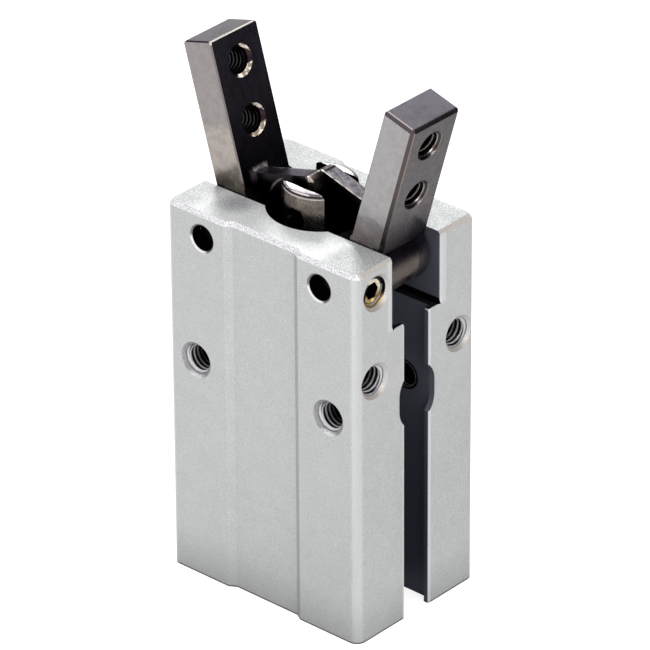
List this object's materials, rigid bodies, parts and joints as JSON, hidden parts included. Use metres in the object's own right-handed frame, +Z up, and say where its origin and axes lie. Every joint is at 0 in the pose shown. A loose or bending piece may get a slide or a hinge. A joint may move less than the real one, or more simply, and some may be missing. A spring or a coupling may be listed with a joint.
{
  "type": "angular gripper",
  "caption": "Compact air-driven gripper: a slotted aluminium block with steel fingers that swing open on pivot pins, driven by a piston rod with a forked end.",
  "frame": {"origin": "centre of the flat bottom of the body", "axes": "+Z up towards the fingers, X along the wide front, the front looks along -Y"},
  "size_m": [0.0272, 0.0164, 0.0525],
  "materials": {
    "body_aluminium": "bead-blasted and clear anodised",
    "finger_steel": "ground and hardened",
    "pin_steel": "blackened",
    "screw_brass": "yellow passivated",
    "rod_steel": "polished",
    "bush_bronze": "sintered bronze",
    "seal_rubber": "black nitrile rubber",
    "bumper_rubber": "polyurethane",
    "piston_aluminium": "turned",
    "magnet_ferrite": "sintered magnet",
    "wear_plastic": "white bearing plastic",
    "nut_steel": "zinc plated",
    "cap_aluminium": "turned and anodised",
    "ring_steel": "phosphated spring steel"
  },
  "bodies": {
    "housing": {"body": "body_aluminium", "left_pivot_pin": "pin_steel", "right_pivot_pin": "pin_steel", "left_set_screw": "screw_brass", "right_set_screw": "screw_brass", "rod_bush": "bush_bronze", "rod_seal": "seal_rubber", "upper_bumper": "bumper_rubber", "lower_bumper": "bumper_rubber", "end_cap": "cap_aluminium", "cap_o_ring": "seal_rubber", "retaining_ring": "ring_steel"},
    "piston": {"piston_rod": "rod_steel", "drive_pin": "pin_steel", "piston_upper_disc": "piston_aluminium", "piston_magnet": "magnet_ferrite", "piston_lower_disc": "piston_aluminium", "piston_seal": "seal_rubber", "piston_wear_ring": "wear_plastic", "piston_nut": "nut_steel"},
    "left_jaw": {"left_finger": "finger_steel"},
    "right_jaw": {"right_finger": "finger_steel"}
  },
  "joints": [
    {"name": "piston_slide", "type": "slide", "parent": "housing", "child": "piston", "axis": [0, 0, 1], "range_m": [-0.00348, 0.00187]},
    {"name": "left_pivot", "type": "hinge", "parent": "housing", "child": "left_jaw", "pos_m": [-0.00705, 0, 0.03575], "axis": [0, -1, 0], "range_deg": [-26, 14]},
    {"name": "right_pivot", "type": "hinge", "parent": "housing", "child": "right_jaw", "pos_m": [0.00705, 0, 0.03575], "axis": [0, 1, 0], "range_deg": [-26, 14]}
  ],
  "couplings": [
    {"joint": "left_pivot", "follows": "piston_slide", "rad_per_m": 130.55},
    {"joint": "right_pivot", "follows": "piston_slide", "rad_per_m": 130.55}
  ]
}
